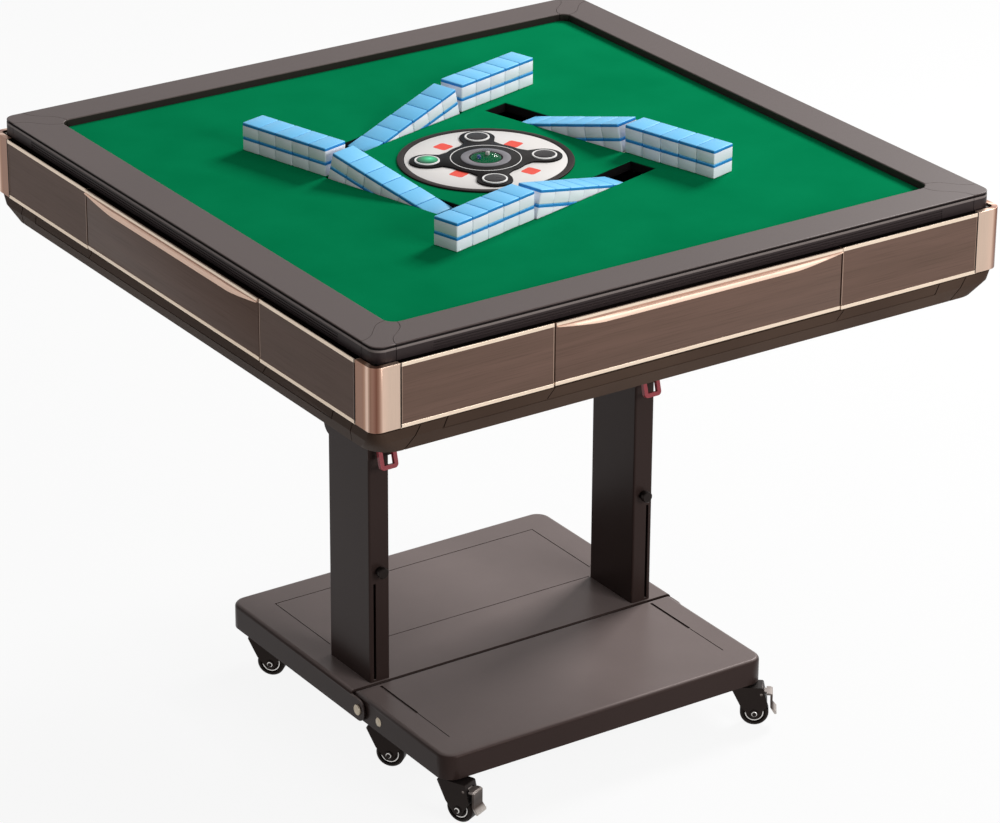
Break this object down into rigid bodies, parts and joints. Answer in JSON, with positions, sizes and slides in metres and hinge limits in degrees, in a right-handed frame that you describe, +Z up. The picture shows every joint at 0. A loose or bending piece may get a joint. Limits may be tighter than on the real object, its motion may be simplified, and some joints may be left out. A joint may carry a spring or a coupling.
{
  "type": "mahjong table",
  "caption": "Square mahjong table with a felt top, lifting tile lanes, a round console and side drawers, on twin columns over a folding base with casters.",
  "frame": {"origin": "on the floor under the middle of the tabletop", "axes": "+Z up, -Y towards the front where the small deck folds up, X along the front side"},
  "size_m": [0.988, 0.988, 0.834],
  "materials": {
    "powder_coat": "satin powder coat",
    "rim_plastic": "matt moulded plastic",
    "tray_plastic": "matt moulded plastic",
    "bronze": "brushed and anodised",
    "champagne": "satin anodised",
    "walnut": "dark walnut veneer",
    "carcass": "bare board",
    "green_felt": "short nap",
    "steel": "zinc plated",
    "gold_bolt": "satin",
    "tyre": "smooth",
    "black_plastic": "gloss",
    "red_plastic": "semi gloss",
    "tile": "polished",
    "white_plastic": "satin",
    "button_plastic": "satin",
    "clear_plastic": "clear",
    "grey_metal": "cast"
  },
  "bodies": {
    "stand": {"main_deck": "powder_coat", "deck_frame": "powder_coat", "column_left": "powder_coat", "column_right": "powder_coat", "pivot_bolts": "gold_bolt"},
    "front_deck": {"front_deck": "powder_coat", "front_rail": "powder_coat"},
    "tabletop": {"arm_left": "powder_coat", "arm_right": "powder_coat", "bottom_tray": "tray_plastic", "case": "carcass", "corner_caps": "bronze", "side_panels": "walnut", "panel_trims": "champagne", "rim_rails": "rim_plastic", "rim_corners": "rim_plastic", "playing_board": "carcass", "felt": "green_felt", "level_tiles": "tile", "console_disc": "white_plastic", "console_bezel": "black_plastic", "dice_dome": "clear_plastic"},
    "caster_swivel_front_left": {"caster_fork_front_left": "black_plastic"},
    "caster_roll_front_left": {"caster_wheel_front_left": "tyre"},
    "brake_pedal_left": {"brake_pedal_left": "grey_metal"},
    "caster_swivel_front_right": {"caster_fork_front_right": "black_plastic"},
    "caster_roll_front_right": {"caster_wheel_front_right": "tyre"},
    "brake_pedal_right": {"brake_pedal_right": "grey_metal"},
    "caster_swivel_middle_left": {"caster_fork_middle_left": "black_plastic"},
    "caster_roll_middle_left": {"caster_wheel_middle_left": "tyre"},
    "caster_swivel_middle_right": {"caster_fork_middle_right": "black_plastic"},
    "caster_roll_middle_right": {"caster_wheel_middle_right": "tyre"},
    "caster_swivel_rear_left": {"caster_fork_rear_left": "black_plastic"},
    "caster_roll_rear_left": {"caster_wheel_rear_left": "tyre"},
    "caster_swivel_rear_right": {"caster_fork_rear_right": "black_plastic"},
    "caster_roll_rear_right": {"caster_wheel_rear_right": "tyre"},
    "lock_knob_left": {"lock_knob_left": "grey_metal"},
    "release_loop_left": {"release_loop_left": "red_plastic"},
    "lock_knob_right": {"lock_knob_right": "grey_metal"},
    "release_loop_right": {"release_loop_right": "red_plastic"},
    "front_drawer": {"front_drawer_box": "carcass", "front_drawer_face": "walnut"},
    "right_drawer": {"right_drawer_box": "carcass", "right_drawer_face": "walnut"},
    "back_drawer": {"back_drawer_box": "carcass", "back_drawer_face": "walnut"},
    "left_drawer": {"left_drawer_box": "carcass", "left_drawer_face": "walnut"},
    "front_ramp": {"front_ramp": "steel", "front_ramp_tiles": "tile"},
    "right_ramp": {"right_ramp": "steel", "right_ramp_tiles": "tile"},
    "back_ramp": {"back_ramp": "steel", "back_ramp_tiles": "tile"},
    "left_ramp": {"left_ramp": "steel", "left_ramp_tiles": "tile"},
    "button_front": {"button_front": "button_plastic"},
    "button_right": {"button_right": "button_plastic"},
    "button_back": {"button_back": "button_plastic"},
    "button_left": {"button_left": "button_plastic"}
  },
  "joints": [
    {"name": "deck_fold", "type": "hinge", "parent": "stand", "child": "front_deck", "pos_m": [0, -0.0955, 0.079], "axis": [-1, 0, 0], "range_deg": [0, 78]},
    {"name": "table_tilt", "type": "hinge", "parent": "stand", "child": "tabletop", "pos_m": [0, 0.012, 0.638], "axis": [-1, 0, 0], "range_deg": [0, 88]},
    {"name": "swivel_front_left", "type": "hinge", "parent": "front_deck", "child": "caster_swivel_front_left", "pos_m": [-0.243, -0.299, 0.061], "axis": [0, 0, 1], "continuous": true},
    {"name": "roll_front_left", "type": "hinge", "parent": "caster_swivel_front_left", "child": "caster_roll_front_left", "pos_m": [-0.23893, -0.30813, 0.02], "axis": [0.9135, 0.4067, 0], "continuous": true},
    {"name": "brake_left", "type": "hinge", "parent": "caster_swivel_front_left", "child": "brake_pedal_left", "pos_m": [-0.23527, -0.31636, 0.05], "axis": [-0.9135, -0.4067, 0], "range_deg": [0, 12]},
    {"name": "swivel_front_right", "type": "hinge", "parent": "front_deck", "child": "caster_swivel_front_right", "pos_m": [0.243, -0.299, 0.061], "axis": [0, 0, 1], "continuous": true},
    {"name": "roll_front_right", "type": "hinge", "parent": "caster_swivel_front_right", "child": "caster_roll_front_right", "pos_m": [0.25099, -0.30502, 0.02], "axis": [0.6018, 0.7986, 0], "continuous": true},
    {"name": "brake_right", "type": "hinge", "parent": "caster_swivel_front_right", "child": "brake_pedal_right", "pos_m": [0.25817, -0.31043, 0.05], "axis": [-0.6018, -0.7986, 0], "range_deg": [0, 12]},
    {"name": "swivel_middle_left", "type": "hinge", "parent": "stand", "child": "caster_swivel_middle_left", "pos_m": [-0.243, -0.121, 0.061], "axis": [0, 0, 1], "continuous": true},
    {"name": "roll_middle_left", "type": "hinge", "parent": "caster_swivel_middle_left", "child": "caster_roll_middle_left", "pos_m": [-0.23671, -0.12877, 0.02], "axis": [0.7771, 0.6293, 0], "continuous": true},
    {"name": "swivel_middle_right", "type": "hinge", "parent": "stand", "child": "caster_swivel_middle_right", "pos_m": [0.243, -0.121, 0.061], "axis": [0, 0, 1], "continuous": true},
    {"name": "roll_middle_right", "type": "hinge", "parent": "caster_swivel_middle_right", "child": "caster_roll_middle_right", "pos_m": [0.25007, -0.12807, 0.02], "axis": [0.7071, 0.7071, 0], "continuous": true},
    {"name": "swivel_rear_left", "type": "hinge", "parent": "stand", "child": "caster_swivel_rear_left", "pos_m": [-0.243, 0.196, 0.061], "axis": [0, 0, 1], "continuous": true},
    {"name": "roll_rear_left", "type": "hinge", "parent": "caster_swivel_rear_left", "child": "caster_roll_rear_left", "pos_m": [-0.23631, 0.18857, 0.02], "axis": [0.7431, 0.6691, 0], "continuous": true},
    {"name": "swivel_rear_right", "type": "hinge", "parent": "stand", "child": "caster_swivel_rear_right", "pos_m": [0.243, 0.196, 0.061], "axis": [0, 0, 1], "continuous": true},
    {"name": "roll_rear_right", "type": "hinge", "parent": "caster_swivel_rear_right", "child": "caster_roll_rear_right", "pos_m": [0.25066, 0.18957, 0.02], "axis": [0.6428, 0.766, 0], "continuous": true},
    {"name": "lock_pull_left", "type": "slide", "parent": "stand", "child": "lock_knob_left", "axis": [0, -1, 0], "range_m": [0, 0.006], "stiffness_N_per_m": 500},
    {"name": "release_left", "type": "hinge", "parent": "tabletop", "child": "release_loop_left", "pos_m": [-0.217, -0.084, 0.47], "axis": [-1, 0, 0], "range_deg": [0, 35], "stiffness_Nm_per_rad": 0.02},
    {"name": "lock_pull_right", "type": "slide", "parent": "stand", "child": "lock_knob_right", "axis": [0, -1, 0], "range_m": [0, 0.006], "stiffness_N_per_m": 500},
    {"name": "release_right", "type": "hinge", "parent": "tabletop", "child": "release_loop_right", "pos_m": [0.217, -0.084, 0.47], "axis": [-1, 0, 0], "range_deg": [0, 35], "stiffness_Nm_per_rad": 0.02},
    {"name": "front_drawer_slide", "type": "slide", "parent": "tabletop", "child": "front_drawer", "axis": [0, 1, 0], "range_m": [-0.14, 0]},
    {"name": "right_drawer_slide", "type": "slide", "parent": "tabletop", "child": "right_drawer", "axis": [-1, 0, 0], "range_m": [-0.14, 0]},
    {"name": "back_drawer_slide", "type": "slide", "parent": "tabletop", "child": "back_drawer", "axis": [0, -1, 0], "range_m": [-0.14, 0]},
    {"name": "left_drawer_slide", "type": "slide", "parent": "tabletop", "child": "left_drawer", "axis": [1, 0, 0], "range_m": [-0.14, 0]},
    {"name": "front_ramp_lift", "type": "hinge", "parent": "tabletop", "child": "front_ramp", "pos_m": [-0.06712, -0.19281, 0.7895], "axis": [0.2661, -0.964, 0], "range_deg": [0, 13.54]},
    {"name": "right_ramp_lift", "type": "hinge", "parent": "tabletop", "child": "right_ramp", "pos_m": [0.19281, -0.06712, 0.7895], "axis": [0.964, 0.2661, 0], "range_deg": [0, 13.54]},
    {"name": "back_ramp_lift", "type": "hinge", "parent": "tabletop", "child": "back_ramp", "pos_m": [0.06712, 0.19281, 0.7895], "axis": [-0.2661, 0.964, 0], "range_deg": [0, 13.54]},
    {"name": "left_ramp_lift", "type": "hinge", "parent": "tabletop", "child": "left_ramp", "pos_m": [-0.19281, 0.06712, 0.7895], "axis": [-0.964, -0.2661, 0], "range_deg": [0, 13.54]},
    {"name": "press_front", "type": "slide", "parent": "tabletop", "child": "button_front", "axis": [0, 0, -1], "range_m": [0, 0.0015], "stiffness_N_per_m": 600},
    {"name": "press_right", "type": "slide", "parent": "tabletop", "child": "button_right", "axis": [0, 0, -1], "range_m": [0, 0.0015], "stiffness_N_per_m": 600},
    {"name": "press_back", "type": "slide", "parent": "tabletop", "child": "button_back", "axis": [0, 0, -1], "range_m": [0, 0.0015], "stiffness_N_per_m": 600},
    {"name": "press_left", "type": "slide", "parent": "tabletop", "child": "button_left", "axis": [0, 0, -1], "range_m": [0, 0.0015], "stiffness_N_per_m": 600}
  ],
  "couplings": [
    {"joint": "right_ramp_lift", "follows": "front_ramp_lift", "ratio": 1},
    {"joint": "back_ramp_lift", "follows": "front_ramp_lift", "ratio": 1},
    {"joint": "left_ramp_lift", "follows": "front_ramp_lift", "ratio": 1}
  ]
}
